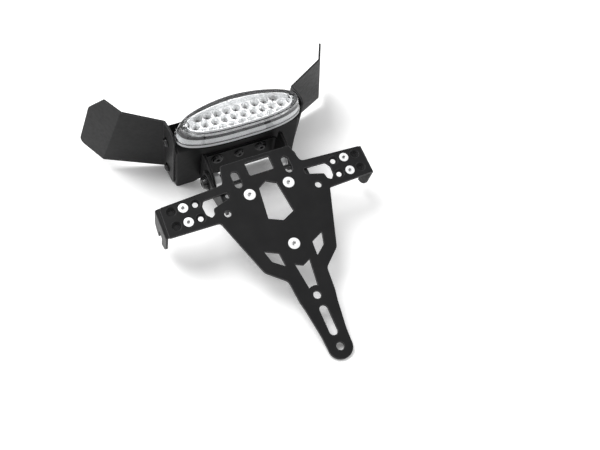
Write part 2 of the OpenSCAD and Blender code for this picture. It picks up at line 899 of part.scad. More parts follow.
module lamp_reflector() {
  color(chrome)
    on_lamp()
      difference() {
        translate([0, 0, board_z + 1])
          linear_extrude(8)
            polygon(oval(lamp_a - 12, lamp_b - 4.2));
        for (p = cells())
          translate([p.x, p.y, board_z + 0.9])
            cylinder(r1 = 2.4, r2 = cell_r, h = 8.2, $fn = 16);
        for (x = [-lamp_screw_x, lamp_screw_x])
          translate([x, 0, board_z])
            cylinder(r = 4.8, h = 12);
      }
}

// Clear lens: a shell with a straight front face and two screw pockets
module lamp_lens() {
  w = lens_wall;
  d = lamp_deep;
  b2 = lamp_b - 1.1;
  color([0.85, 0.86, 0.88, 0.4])
    on_lamp()
      difference() {
        union() {
          difference() {
            skin([ring(lamp_a, lamp_b, board_z), ring(lamp_a - 0.4, lamp_b - 0.1, board_z + 3),
                  ring(lamp_face + 0.5, b2 + 0.1, d - 1.6, face_up, face_down),
                  ring(lamp_face, b2, d - 0.5, face_up, face_down),
                  ring(lamp_face - 0.7, b2 - 0.6, d, face_up, face_down)]);
            skin([ring(lamp_a - w, lamp_b - w, board_z - 1), ring(lamp_a - w, lamp_b - w, board_z + 3),
                  ring(lamp_face - w, b2 - w, d - w, face_up, face_down)]);
          }
          for (x = [-lamp_screw_x, lamp_screw_x])
            translate([x, 0, board_z])
              cylinder(r = 4.4, h = d - board_z - 1);
        }
        for (x = [-lamp_screw_x, lamp_screw_x])
          translate([x, 0, 0]) {
            cylinder(r = 1.8, h = 30);
            translate([0, 0, d - 5.4])
              cylinder(r = 3.2, h = 10);
          }
      }
}

module lamp_screws() {
  color(zinc)
    on_lamp()
      for (x = [-lamp_screw_x, lamp_screw_x])
        translate([x, 0, 0])
          difference() {
            union() {
              translate([0, 0, 1.2])
                cylinder(r = 1.5, h = lamp_deep - 6);
              translate([0, 0, lamp_deep - 5.4])
                cylinder(r1 = 2.9, r2 = 2.2, h = 2);
            }
            translate([0, 0, lamp_deep - 3])
              cube([3.4, 0.8, 2], center = true);
            translate([0, 0, lamp_deep - 3])
              cube([0.8, 3.4, 2], center = true);
          }
}

module lamp_studs() {
  color(zinc)
    on_lamp()
      for (x = [-stud_x, stud_x])
        translate([x, stud_v, -gasket_t - base_t - 6])
          cylinder(r = 2.5, h = gasket_t + base_t + 7.4);
}

module lamp_nuts() {
  color(zinc)
    on_lamp()
      for (x = [-stud_x, stud_x])
        translate([x, stud_v, -gasket_t - base_t])
          mirror([0, 0, 1])
            hex_nut(2.5, 8, 4.7);
}

// Rubber grommet that the wiring would leave the lamp through
module cable_grommet() {
  color([0.08, 0.08, 0.08])
    on_lamp()
      translate([0, grommet_v, -gasket_t - base_t]) {
        translate([0, 0, -2])
          cylinder(r = 6.4, h = 2);
        cylinder(r = 4.9, h = base_t + gasket_t - 0.4);
        translate([0, 0, -6])
          cylinder(r1 = 3.4, r2 = 4.6, h = 4);
      }
}

number_plate_bracket();
plate_screws();
plate_nuts();
tilt_bracket();
hinge_bracket();
left_pivot_bolt();
right_pivot_bolt();
pivot_spacers();
pivot_washers();
pivot_nuts();
tail_bolts();
centre_screw();
left_indicator_bracket();
right_indicator_bracket();
left_indicator_screws();
right_indicator_screws();
left_indicator_nuts();
right_indicator_nuts();
light_bracket();
left_wing();
right_wing();
left_wing_bolts();
right_wing_bolts();
left_wing_nuts();
right_wing_nuts();
lamp_gasket();
lamp_housing();
lamp_circuit_board();
lamp_leds();
lamp_reflector();
lamp_lens();
lamp_screws();
lamp_studs();
lamp_nuts();
cable_grommet();
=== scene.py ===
import math

import bmesh
import bpy
from mathutils import Matrix, Vector


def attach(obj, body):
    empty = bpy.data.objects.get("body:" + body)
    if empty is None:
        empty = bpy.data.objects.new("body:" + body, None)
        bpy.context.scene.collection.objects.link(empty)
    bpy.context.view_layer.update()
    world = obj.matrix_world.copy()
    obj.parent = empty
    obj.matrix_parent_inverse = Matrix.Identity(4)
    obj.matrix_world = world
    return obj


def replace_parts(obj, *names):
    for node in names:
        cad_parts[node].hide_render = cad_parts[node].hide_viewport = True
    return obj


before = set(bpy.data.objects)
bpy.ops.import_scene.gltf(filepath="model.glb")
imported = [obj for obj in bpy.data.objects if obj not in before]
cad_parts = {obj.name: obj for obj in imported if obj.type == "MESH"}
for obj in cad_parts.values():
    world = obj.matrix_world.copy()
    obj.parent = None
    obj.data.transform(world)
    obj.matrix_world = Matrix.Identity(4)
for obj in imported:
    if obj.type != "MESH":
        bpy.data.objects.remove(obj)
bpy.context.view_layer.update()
scene = bpy.context.scene
MM = 0.001

# Camera: it stands to the left of the stem and below it, where the
# photograph was taken, and looks along the floor that the part lies on.
photo_right = Vector((0.90011585, -0.17772051, -0.39775228))
photo_down = Vector((-0.30842921, 0.38483629, -0.86992669))
photo_ahead = Vector((0.30767333, 0.90571323, 0.29158304))
camera_place = Vector((-208.84074, -654.11927, -258.0774)) * MM
film_width = 36.0
picture_width = 600.0
focal_pixels = 724.0598

camera = bpy.data.objects.new("camera", bpy.data.cameras.new("camera"))
scene.collection.objects.link(camera)
camera.matrix_world = Matrix.Translation(camera_place) @ Matrix(
    (photo_right, -photo_down, -photo_ahead)).transposed().to_4x4()
camera.data.sensor_width = film_width
camera.data.lens = focal_pixels * film_width / picture_width
camera.data.clip_start = 0.02
camera.data.clip_end = 30.0
scene.camera = camera
scene.view_settings.view_transform = "Standard"

# Floor: a plain white sheet under the part, which lies on the tip of its
# stem and on the far edge of its light bracket. It is seen from above only.
floor_tilt = math.radians(17.5)
floor_up = Vector((0, -math.cos(floor_tilt), math.sin(floor_tilt)))
floor_point = Vector((0, 3, -186)) * MM
floor_half_width = 4.0
sharp_angle = math.radians(30.0)


def piece_from(bm, name, finish):
    """Makes the finished bmesh an object, smooth apart from its sharp edges."""
    for face in bm.faces:
        face.smooth = True
    for edge in bm.edges:
        edge.smooth = len(edge.link_faces) == 2 and edge.calc_face_angle(0.0) < sharp_angle
    mesh = bpy.data.meshes.new(name)
    bm.to_mesh(mesh)
    bm.free()
    mesh.materials.append(finish)
    piece = bpy.data.objects.new(name, mesh)
    scene.collection.objects.link(piece)
    return piece


def worked_out(tree, operation, *values):
    """The result of a Math node that is fed with sockets and numbers."""
    sum_node = tree.nodes.new("ShaderNodeMath")
    sum_node.operation = operation
    for socket, value in zip(sum_node.inputs, values):
        if isinstance(value, float):
            socket.default_value = value
        else:
            tree.links.new(value, socket)
    return sum_node.outputs[0]


def paper_white():
    """Matt white with soft shadows, its glow dimmed close to the part as painted shade, clear from below."""
    finish = bpy.data.materials.new("paper_white")
    finish.use_nodes = True
    tree = finish.node_tree
    tree.nodes.clear()
    rays = tree.nodes.new("ShaderNodeLightPath").outputs
    sides = tree.nodes.new("ShaderNodeNewGeometry")
    nook = tree.nodes.new("ShaderNodeAmbientOcclusion")
    nook.samples = 8
    nook.inputs["Distance"].default_value = 0.08
    matt = tree.nodes.new("ShaderNodeBsdfDiffuse")
    matt.inputs["Color"].default_value = (0.93, 0.93, 0.93, 1)
    glow = tree.nodes.new("ShaderNodeEmission")
    glow.inputs["Color"].default_value = (1, 1, 1, 1)
    both = tree.nodes.new("ShaderNodeAddShader")
    clear = tree.nodes.new("ShaderNodeBsdfTransparent")
    side = tree.nodes.new("ShaderNodeMixShader")
    out = tree.nodes.new("ShaderNodeOutputMaterial")

    seen = worked_out(tree, "MAXIMUM", rays["Is Camera Ray"], rays["Is Glossy Ray"])
    seen = worked_out(tree, "MAXIMUM", seen, rays["Is Transmission Ray"])
    level = worked_out(tree, "MULTIPLY", seen, 0.44)
    # For camera rays the glow is dimmed by ambient occlusion: painted shade on the floor close to the part.
    painted_shade_depth = worked_out(tree, "SUBTRACT", nook.outputs["AO"], 1.0)
    dimmed = worked_out(tree, "MULTIPLY_ADD", rays["Is Camera Ray"], painted_shade_depth, 1.0)
    link = tree.links.new
    link(worked_out(tree, "MULTIPLY", level, dimmed), glow.inputs["Strength"])
    link(matt.outputs[0], both.inputs[0])
    link(glow.outputs[0], both.inputs[1])
    link(sides.outputs["Backfacing"], side.inputs[0])
    link(both.outputs[0], side.inputs[1])
    link(clear.outputs[0], side.inputs[2])
    link(side.outputs[0], out.inputs["Surface"])
    return finish


bm = bmesh.new()
bmesh.ops.create_grid(bm, x_segments=1, y_segments=1, size=floor_half_width)
floor_place = Matrix.Translation(floor_point) @ floor_up.to_track_quat("Z", "Y").to_matrix().to_4x4()
bmesh.ops.transform(bm, matrix=floor_place, verts=bm.verts)
floor = piece_from(bm, "floor", paper_white())

# Light: a pale room and two soft lamps. The large one hangs over the upper
# left of the floor, and a weaker one stands to its right.
light_on_part = 0.28
backdrop_white = 1.0
lamp_aim = Vector((0.0, 20, 0.0)) * MM

room = bpy.data.worlds.new("room")
scene.world = room
room.use_nodes = True
room_tree = room.node_tree
room_rays = room_tree.nodes.new("ShaderNodeLightPath").outputs
room_seen = worked_out(room_tree, "MAXIMUM", room_rays["Is Camera Ray"], room_rays["Is Transmission Ray"])
room_seen = worked_out(room_tree, "MAXIMUM", room_seen, room_rays["Is Glossy Ray"])
room_level = room_tree.nodes.new("ShaderNodeMapRange")
room_level.inputs["To Min"].default_value = light_on_part
room_level.inputs["To Max"].default_value = backdrop_white
backdrop = room_tree.nodes["Background"]
backdrop.inputs["Color"].default_value = (1, 1, 1, 1)
room_tree.links.new(room_seen, room_level.inputs["Value"])
room_tree.links.new(room_level.outputs["Result"], backdrop.inputs["Strength"])


def soft_lamp(name, right, up, away, size, power):
    """A square lamp, placed by the camera's right, up and away, in metres."""
    light = bpy.data.lights.new(name, "AREA")
    light.shape = "SQUARE"
    light.size = size
    light.energy = power
    lamp = bpy.data.objects.new(name, light)
    scene.collection.objects.link(lamp)
    lamp.location = lamp_aim + photo_right * right - photo_down * up - photo_ahead * away
    lamp.rotation_mode = "QUATERNION"
    lamp.rotation_quaternion = (lamp.location - lamp_aim).to_track_quat("Z", "Y")


soft_lamp("large_lamp", -0.7, 1.3, 1.0, 1.2, 30.0)
soft_lamp("side_lamp", 1.5, 0.2, 0.7, 0.9, 7.0)

# Sheet metal: every bracket and wing is cut from steel sheet, folded, eased
# along its cut edges and powder coated in satin black with a fine grain.
edge_ease = 0.3 * MM
rounded_angle = math.radians(32.0)


def finish_named(name, colour, rough, metal=0.0):
    """A new material, its main shader set to one colour and roughness."""
    finish = bpy.data.materials.new(name)
    finish.use_nodes = True
    shader = shader_of(finish)
    shader.inputs["Base Color"].default_value = (*colour, 1)
    shader.inputs["Roughness"].default_value = rough
    shader.inputs["Metallic"].default_value = metal
    return finish


def shader_of(finish):
    return finish.node_tree.nodes["Principled BSDF"]


def cloud(finish, scale, detail=2.0):
    """Even noise over a piece, read from its object coordinates."""
    nodes, link = finish.node_tree.nodes, finish.node_tree.links.new
    place = nodes.new("ShaderNodeTexCoord")
    noise = nodes.new("ShaderNodeTexNoise")
    noise.inputs["Scale"].default_value = scale
    noise.inputs["Detail"].default_value = detail
    link(place.outputs["Object"], noise.inputs["Vector"])
    return noise.outputs["Fac"]


def spread(finish, value, low, high, start=0.3, end=0.7):
    """Maps a value onto a range; start and end fit the middle of a noise."""
    nodes, link = finish.node_tree.nodes, finish.node_tree.links.new
    span = nodes.new("ShaderNodeMapRange")
    span.inputs["From Min"].default_value = start
    span.inputs["From Max"].default_value = end
    span.inputs["To Min"].default_value = low
    span.inputs["To Max"].default_value = high
    link(value, span.inputs["Value"])
    return span.outputs["Result"]


def two_tones(finish, value, first, second):
    """Blends the base colour between two tones, each a colour or a socket."""
    nodes, link = finish.node_tree.nodes, finish.node_tree.links.new
    tones = nodes.new("ShaderNodeMix")
    tones.data_type = "RGBA"
    for name, tone in (("A", first), ("B", second)):
        if isinstance(tone, tuple):
            tones.inputs[name].default_value = (*tone, 1)
        else:
            link(tone, tones.inputs[name])
    link(value, tones.inputs["Factor"])
    link(tones.outputs["Result"], shader_of(finish).inputs["Base Color"])
    return tones.outputs["Result"]


def mottled(finish, scale, detail, first, second):
    """Clouds the base colour from one tone to the other."""
    return two_tones(finish, spread(finish, cloud(finish, scale, detail), 0.0, 1.0), first, second)


def uneven_gloss(finish, scale, detail, low, high):
    """Lets the roughness wander between two levels."""
    rough = spread(finish, cloud(finish, scale, detail), low, high)
    finish.node_tree.links.new(rough, shader_of(finish).inputs["Roughness"])


def grain(finish, value, depth, strength):
    """Raises the surface by the value, to the depth given in metres."""
    nodes, link = finish.node_tree.nodes, finish.node_tree.links.new
    bump = nodes.new("ShaderNodeBump")
    bump.inputs["Distance"].default_value = depth
    bump.inputs["Strength"].default_value = strength
    link(value, bump.inputs["Height"])
    link(bump.outputs["Normal"], shader_of(finish).inputs["Normal"])


def powder_coat(name, dark, pale, edge_highlight, rough_low, rough_high):
    """Satin powder coat: two close tones, orange peel, and a painted highlight along the cut edges."""
    finish = finish_named(name, dark, rough_low)
    shader_of(finish).inputs["Specular IOR Level"].default_value = 0.11
    coat = mottled(finish, 45.0, 4.0, dark, pale)
    uneven_gloss(finish, 260.0, 3.0, rough_low, rough_high)
    grain(finish, cloud(finish, 1500.0, 2.0), 0.00006, 0.35)
    nodes, link = finish.node_tree.nodes, finish.node_tree.links.new
    # A bevel mask paints a paler tone on the eased cut edges: a painted highlight for the light that the edges
    # catch.
    rounded = nodes.new("ShaderNodeBevel")
    rounded.samples = 4
    rounded.inputs["Radius"].default_value = 0.7 * MM
    surface = nodes.new("ShaderNodeNewGeometry")
    along = nodes.new("ShaderNodeVectorMath")
    along.operation = "DOT_PRODUCT"
    link(rounded.outputs["Normal"], along.inputs[0])
    link(surface.outputs["Normal"], along.inputs[1])
    edge_highlight_mask = spread(finish, along.outputs["Value"], 0.0, 1.0, start=0.995, end=0.95)
    two_tones(finish, edge_highlight_mask, coat, edge_highlight)
    return finish


def eased_skin(name, node, body, ease, finish):
    """The CAD shape merged into one skin, its sharp edges rounded over."""
    bm = bmesh.new()
    bm.from_mesh(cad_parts[node].data)
    bmesh.ops.remove_doubles(bm, verts=bm.verts, dist=2e-6)
    bmesh.ops.dissolve_limit(bm, angle_limit=math.radians(0.8), verts=bm.verts, edges=bm.edges)
    piece = piece_from(bm, name, finish)
    if ease:
        rounding = piece.modifiers.new("eased_edges", "BEVEL")
        rounding.width = ease
        rounding.segments = 2
        rounding.limit_method = "ANGLE"
        rounding.angle_limit = rounded_angle
        rounding.use_clamp_overlap = False
        piece.modifiers.new("flat_faces", "WEIGHTED_NORMAL").keep_sharp = True
    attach(piece, body)
    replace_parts(piece, node)
    return piece


# Its third tone is the painted highlight on the cut edges.
bracket_black = powder_coat("powder_black", (0.0105, 0.0105, 0.011), (0.015, 0.015, 0.0155),
                            (0.10, 0.10, 0.102), 0.36, 0.48)

# Number plate bracket: one flat 3 mm sheet with a neck, two arms and a long
# stem, laser cut with its openings and countersunk from the rear.
eased_skin("bracket_sheet", "number_plate_bracket", "plate", edge_ease, bracket_black)

# Tilting hinge bracket: a folded sheet behind the number plate bracket, whose
# two ears reach forward to the hinge bolts.
eased_skin("tilting_ears", "tilt_bracket", "plate", edge_ease, bracket_black)

# Fixed hinge bracket: a U-shaped sheet bolted up under the light bracket,
# with an ear folded down on each side.
eased_skin("fixed_ears", "hinge_bracket", "tail", edge_ease, bracket_black)

# Indicator brackets: an angle behind each arm, with a round slotted ear that
# takes the stem of an indicator.
for side in ("left", "right"):
    eased_skin(side + "_ear", side + "_indicator_bracket", "plate", edge_ease, bracket_black)

# Light bracket: a flat base panel under the vehicle's tail, with a flange
# bent up behind the lamp and a flange folded up along each side.
eased_skin("lamp_carrier", "light_bracket", "tail", edge_ease, bracket_black)

# Wings: a thinner folded sheet bolted outside each side flange, bent outwards
# along one slanted line and upwards along another.
wing_ease = 0.28 * MM
for side in ("left", "right"):
    eased_skin(side + "_wing_sheet", side + "_wing", "tail", wing_ease, bracket_black)

# Countersunk screws: three M6 and four M5 flat heads of zinc-plated steel,
# sunk flush into the bracket and driven by a hexagon socket.
RIM = 48
THREAD_STEPS = 32
middle_spots = ((-21.5, 0), (21.5, 0), (0, -63.4))
arm_across = 89
arm_rows = (-7.9, 7.9)
towards_front = Matrix.Rotation(-math.pi / 2, 4, "X")


def rim_point(step, size, z, sides=RIM):
    """One of the 48 points of a level ring, round or with fewer corners."""
    corner, part = divmod(step, RIM // sides)
    near, far = (Vector((-math.sin(turn), math.cos(turn), 0))
                 for turn in (math.tau * corner / sides, math.tau * (corner + 1) / sides))
    return (near.lerp(far, part * sides / RIM) * size + Vector((0, 0, z))) * MM


def stacked(rings, closed=False):
    """Draws a ring through its levels into a solid, capped or joined up.
    Each level is a size and a height, and a number of corners if not round."""
    bm = bmesh.new()
    steps = bm.verts.layers.int.new("steps")
    verts = bmesh.ops.create_circle(bm, segments=RIM, radius=1.0)["verts"]
    for point in verts:
        point[steps] = round(math.atan2(-point.co.x, point.co.y) / math.tau * RIM) % RIM
    edges = foot = bm.edges[:]
    for count, level in enumerate(rings + rings[:closed]):
        if count:
            made = bmesh.ops.extrude_edge_only(bm, edges=edges)["geom"]
            verts = [part for part in made if isinstance(part, bmesh.types.BMVert)]
            edges = [part for part in made if isinstance(part, bmesh.types.BMEdge) and part.is_boundary]
        for point in verts:
            point.co = rim_point(point[steps], *level)
    if closed:
        bmesh.ops.remove_doubles(bm, verts=bm.verts, dist=1e-6)
    else:
        for loop in (foot, edges):
            bmesh.ops.edgeloop_fill(bm, edges=loop)
    bmesh.ops.recalc_face_normals(bm, faces=bm.faces)
    return bm


def thread(radius, pitch, low, high):
    """A screw thread from low to high: its flanks spun round one turn."""
    bm = bmesh.new()
    root = radius - 0.58 * pitch
    flank = [(radius, 0.0), (radius, 0.12), (root, 0.5), (root, 0.62)]
    turns = int((high - low) / pitch) + 3
    points = [bm.verts.new((r * MM, 0, (low + (turn - 1 + part) * pitch) * MM))
              for turn in range(turns) for r, part in flank]
    edges = [bm.edges.new(pair) for pair in zip(points, points[1:])]
    bmesh.ops.spin(bm, geom=points + edges, cent=(0, 0, 0), axis=(0, 0, 1), angle=math.tau,
                   steps=THREAD_STEPS, dvec=(0, 0, pitch * MM / THREAD_STEPS))
    bmesh.ops.remove_doubles(bm, verts=bm.verts, dist=1e-6)
    for height, outward in ((low, -1), (high, 1)):
        bmesh.ops.bisect_plane(bm, geom=bm.verts[:] + bm.edges[:] + bm.faces[:],
                               plane_co=(0, 0, height * MM), plane_no=(0, 0, outward), clear_outer=True)
    bmesh.ops.dissolve_degenerate(bm, dist=1e-6, edges=bm.edges)
    bmesh.ops.holes_fill(bm, edges=bm.edges)
    bmesh.ops.recalc_face_normals(bm, faces=bm.faces)
    return bm


def gathered(name, body, slot, finish, *sets):
    """Copies of each mesh at its places, made one piece that rides a body."""
    whole = bmesh.new()
    for source, places in sets:
        one = bpy.data.meshes.new("one")
        source.to_mesh(one)
        source.free()
        for place in places:
            count = len(whole.verts)
            whole.from_mesh(one)
            whole.verts.ensure_lookup_table()
            bmesh.ops.transform(whole, matrix=place, verts=whole.verts[count:])
        bpy.data.meshes.remove(one)
    piece = piece_from(whole, name, finish)
    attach(piece, body)
    return piece


def plated(name, colour, rough_low, rough_high):
    """Bright plated steel: faint clouding, a fine grain, and painted shade darkening its recesses."""
    finish = finish_named(name, colour, rough_low, 0.65)
    pale = tuple(min(1.0, part * 1.06) for part in colour)
    plating = mottled(finish, 420.0, 3.0, colour, pale)
    uneven_gloss(finish, 900.0, 2.0, rough_low, rough_high)
    grain(finish, cloud(finish, 2600.0, 2.0), 0.00002, 0.4)
    # Ambient occlusion blends the colour towards near black in sockets and thread roots: painted shade in the
    # recesses.
    recess = finish.node_tree.nodes.new("ShaderNodeAmbientOcclusion")
    recess.samples = 8
    recess.inputs["Distance"].default_value = 3 * MM
    unshaded_share = spread(finish, recess.outputs["AO"], 0.0, 1.0, start=0.35, end=0.8)
    two_tones(finish, unshaded_share, (0.05, 0.05, 0.05), plating)
    return finish


bright_zinc = plated("bright_zinc", (0.84, 0.845, 0.85), 0.30, 0.42)


def sunk_head(head, shank):
    """A flat head with its mouth at z = 0 and a hexagon socket sunk into it."""
    return stacked([(shank, head - shank), (head - 0.25, 0.25), (head, 0.12), (head - 0.08, 0.02),
                    (head - 0.3, 0), (shank * 0.95, 0), (shank * 0.86, 0.22), (shank * 0.80, 0.3, 6),
                    (shank * 0.78, shank * 0.75, 6), (shank * 0.3, shank * 0.95)])


def sunk_screws(name, node, head, shank, pitch, length, spots):
    """Flat head screws at the spots, given across and up the bracket."""
    places = [Matrix.Translation((x * MM, 0, z * MM)) @ towards_front for x, z in spots]
    screws = gathered(name, "plate", "zinc", bright_zinc, (sunk_head(head, shank), places),
                      (thread(shank, pitch, head - shank - 0.2, length), places))
    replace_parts(screws, node)


sunk_screws("middle_screws", "plate_screws", 6.0, 3.0, 1.0, 13.0, middle_spots)
for side, x in (("left", -arm_across), ("right", arm_across)):
    sunk_screws(side + "_arm_screws", side + "_indicator_screws", 4.95, 2.5, 0.8, 11.5,
                [(x, row) for row in arm_rows])

# Nuts: plain zinc-plated hexagons with chamfered corners, run up on the
# screws from the front.
middle_nut_seat = 6
arm_nut_seat = 5.5
m6_nut = (2.7, 10, 5)
m5_nut = (2.2, 8, 4.7)
m8_nut = (3.5, 13, 6.8)


def nut(bore, flats, tall):
    """A hexagon nut standing on z = 0, both faces turned to a cone."""
    corner = flats / 2 / math.cos(math.radians(30))
    turned = flats * 0.49
    solid = stacked([(bore, 0.35), (bore + 0.35, 0), (turned, 0), (corner, 0.3, 6), (corner, tall - 0.3, 6),
                     (turned, tall), (bore + 0.35, tall), (bore, tall - 0.35)], closed=True)
    for point in solid.verts:
        reach = point.co.xy.length - turned * MM
        if reach > 0:
            slope = reach * 0.577
            point.co.z = slope if point.co.z < tall * MM / 2 else tall * MM - slope
    return solid


def nuts(name, node, body, places, size):
    """Nuts of one size at their places, as one piece."""
    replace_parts(gathered(name, body, "zinc", bright_zinc, (nut(*size), places)), node)


nuts("middle_nuts", "plate_nuts", "plate",
     [Matrix.Translation(Vector((x, middle_nut_seat, z)) * MM) @ towards_front for x, z in middle_spots], m6_nut)
for side, x in (("left", -arm_across), ("right", arm_across)):
    nuts(side + "_arm_nuts", side + "_indicator_nuts", "plate",
         [Matrix.Translation(Vector((x, arm_nut_seat, row)) * MM) @ towards_front for row in arm_rows], m5_nut)

# Hinge bolts: M8 button heads in black outside the ears, each with a thin
# black washer, and inside the ears a plated washer and nut.
hinge_y, hinge_z = 37.5, 42.5
ear_outside = 50.1
ear_inside = 42.5
hinge_nut_seat = 41.0

bolt_black = finish_named("bolt_black", (0.02, 0.02, 0.021), 0.2, 0.6)
mottled(bolt_black, 500.0, 2.0, (0.022, 0.022, 0.023), (0.042, 0.042, 0.043))
grain(bolt_black, cloud(bolt_black, 2200.0), 0.00003, 0.4)


def button_head(shank, head, tall):
    """A flanged button head below z = 0, with a hexagon socket."""
    dome = [(head * (0.52 + 0.36 * math.cos(a)), -tall * (0.36 + 0.64 * math.sin(a)))
            for a in (math.radians(15 * step) for step in range(7))]
    flange = [(shank, 0), (head - 0.15, 0), (head, -0.15), (head, -tall * 0.26), (head - 0.2, -tall * 0.34)]
    socket = [(shank * 0.80, -tall), (shank * 0.76, -tall + 0.25), (shank * 0.72, -tall + 0.3, 6),
              (shank * 0.72, -tall * 0.4, 6), (shank * 0.3, -tall * 0.33)]
    return stacked(flange + dome + socket)


def washer(bore, rim, low, high):
    """A flat washer with its edges eased."""
    return stacked([(bore, low + 0.1), (bore + 0.1, low), (rim - 0.15, low), (rim, low + 0.15),
                    (rim, high - 0.15), (rim - 0.15, high), (bore + 0.1, high), (bore, high - 0.1)], closed=True)


def inward(sign, x, y, z):
    """Stands a piece on one side, its local Z running in to the middle."""
    return Matrix.Translation(Vector((sign * x, y, z)) * MM) @ Matrix.Rotation(-sign * math.pi / 2, 4, "Y")


for side, sign in (("left", -1), ("right", 1)):
    place = [inward(sign, ear_outside, hinge_y, hinge_z)]
    bolt = gathered(side + "_hinge_bolt", "tail", "black_bolt", bolt_black,
                    (button_head(4.0, 7.2, 4.4), place), (thread(4.0, 1.25, -0.2, 18.1), place))
    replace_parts(bolt, side + "_pivot_bolt")
spacer_places = [inward(sign, ear_outside, hinge_y, hinge_z) for sign in (-1, 1)]
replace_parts(gathered("hinge_spacers", "tail", "black_bolt", bolt_black,
                     (washer(4.3, 8.5, 0.05, 1.25), spacer_places)), "pivot_spacers")
washer_places = [inward(sign, ear_inside, hinge_y, hinge_z) for sign in (-1, 1)]
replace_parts(gathered("hinge_washers", "tail", "zinc", bright_zinc,
                     (washer(4.3, 8.5, 0.0, 1.5), washer_places)), "pivot_washers")
nuts("hinge_nuts", "pivot_nuts", "tail",
     [inward(sign, hinge_nut_seat, hinge_y, hinge_z) for sign in (-1, 1)], m8_nut)

# Tail bolts: two flanged M6 button heads that hold the web and the base panel
# up against the vehicle's tail, and a smaller one between them.
panel_y, panel_z = 22, 75.6
panel_slope = math.radians(6.64)
web_under = -3
base_panel = Matrix.Translation(Vector((0, panel_y, panel_z)) * MM) @ Matrix.Rotation(-panel_slope, 4, "X")

tail_places = [base_panel @ Matrix.Translation(Vector((x, 24.5, web_under)) * MM) for x in (-25.6, 25.6)]
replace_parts(gathered("tail_screws", "tail", "black_bolt", bolt_black, (button_head(3.0, 6.8, 3.3), tail_places),
                     (stacked([(3.0, -0.1), (3.0, 5.6)]), tail_places),
                     (thread(2.95, 1.0, 5.5, 19.6), tail_places)), "tail_bolts")
centre_place = [base_panel @ Matrix.Translation(Vector((0, 25.8, web_under)) * MM)]
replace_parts(gathered("web_screw", "tail", "black_bolt", bolt_black, (button_head(2.5, 5.6, 2.8), centre_place),
                     (thread(2.5, 0.8, -0.2, 5.2), centre_place)), "centre_screw")

# Wing bolts: two M6 button heads in black on each side, nutted inside the
# flange of the light bracket.
wing_outside = 73.4
flange_inside = 68.8
panel_length = 66
wing_spots = ((28.5, 96.5), (panel_y + panel_length * math.cos(panel_slope) - 10.56, 91.5))
for side, sign in (("left", -1), ("right", 1)):
    places = [inward(sign, wing_outside, y, z) for y, z in wing_spots]
    bolts = gathered(side + "_wing_screws", "tail", "black_bolt", bolt_black,
                     (button_head(3.0, 5.3, 3.3), places), (thread(3.0, 1.0, -0.2, 11.6), places))
    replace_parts(bolts, side + "_wing_bolts")
    nuts(side + "_wing_hex_nuts", side + "_wing_nuts", "tail",
         [inward(sign, flange_inside, y, z) for y, z in wing_spots], m6_nut)

# Lamp seal: a thick pad of black foam rubber between the lamp and the flange
# that carries it.
seal_ease = 0.8 * MM
rubber_black = finish_named("rubber_black", (0.015, 0.015, 0.015), 0.75)
shader_of(rubber_black).inputs["Specular IOR Level"].default_value = 0.1
mottled(rubber_black, 300.0, 4.0, (0.004, 0.004, 0.004), (0.009, 0.009, 0.009))
grain(rubber_black, cloud(rubber_black, 1400.0, 3.0), 0.0001, 0.6)
eased_skin("foam_seal", "lamp_gasket", "tail", seal_ease, rubber_black)

# Lamp housing: the moulded grey tray that closes the back of the lamp. A
# skirt of the same plastic stands inside the lens.
tray_ease = 0.4 * MM
FLUTES = 400
lamp_place = (Matrix.Translation(Vector((0, 4.1, 83.6)) * MM)
              @ Matrix.Rotation(math.radians(84.9), 4, "X"))
tray_grey = finish_named("tray_grey", (0.62, 0.63, 0.64), 0.42)
mottled(tray_grey, 60.0, 3.0, (0.58, 0.59, 0.60), (0.66, 0.67, 0.68))
grain(tray_grey, cloud(tray_grey, 1100.0, 2.0), 0.00004, 0.5)
eased_skin("lamp_tray", "lamp_housing", "tail", tray_ease, tray_grey)


def oval_band(name, finish, levels):
    """A closed band on the lamp's oval. Each level gives its half width and
    height, its place at the top and bottom, two powers and the flutes' depth."""
    bm = bmesh.new()
    turn = bm.verts.layers.float.new("turn")
    verts = bmesh.ops.create_circle(bm, segments=FLUTES, radius=1.0)["verts"]
    for point in verts:
        point[turn] = round(math.atan2(point.co.y, point.co.x) / math.tau * FLUTES)
    edges = bm.edges[:]
    for count, (wide, high, top, bottom, up, down, deep) in enumerate(levels + levels[:1]):
        if count:
            made = bmesh.ops.extrude_edge_only(bm, edges=edges)["geom"]
            verts = [part for part in made if isinstance(part, bmesh.types.BMVert)]
            edges = [part for part in made if isinstance(part, bmesh.types.BMEdge) and part.is_boundary]
        for point in verts:
            angle = point[turn] / FLUTES * math.tau
            power = 2 / (up if angle > 0 else down)
            cut = deep if round(point[turn]) % 2 else 0.0
            across, along = math.cos(angle), math.sin(angle)
            z = (top + bottom) / 2 + (top - bottom) / 2 * max(-1.0, min(1.0, 3 * along))
            point.co = Vector(((wide - cut) * math.copysign(abs(across) ** power, across),
                               (high - cut) * math.copysign(abs(along) ** power, along), z)) * MM
    bmesh.ops.remove_doubles(bm, verts=bm.verts, dist=1e-6)
    bmesh.ops.recalc_face_normals(bm, faces=bm.faces)
    bmesh.ops.transform(bm, matrix=lamp_place, verts=bm.verts)
    band = piece_from(bm, name, finish)
    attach(band, "tail")


oval_band("lamp_skirt", tray_grey,
          [(67.0, 18.75, 4.05, 4.05, 2.25, 2.65, 0), (65.3, 18.3, 11.8, 11.8, 2.1, 2.65, 0),
           (64.5, 17.5, 11.8, 11.8, 2.1, 2.65, 0), (66.1, 17.8, 4.05, 4.05, 2.25, 2.65, 0)])

# Circuit board: a green board under the reflector, with a light emitting
# diode standing up in the middle of each cell.
cell_pitch = 10.6
cell_rows = ((-9.4, 9), (-0.6, 10), (8.2, 9))
cell_places = [lamp_place @ Matrix.Translation(Vector(((i - (count - 1) / 2) * cell_pitch, y, 0)) * MM)
               for y, count in cell_rows for i in range(count)]
diode_radius = 1.2
diode_shoulder = 8.4

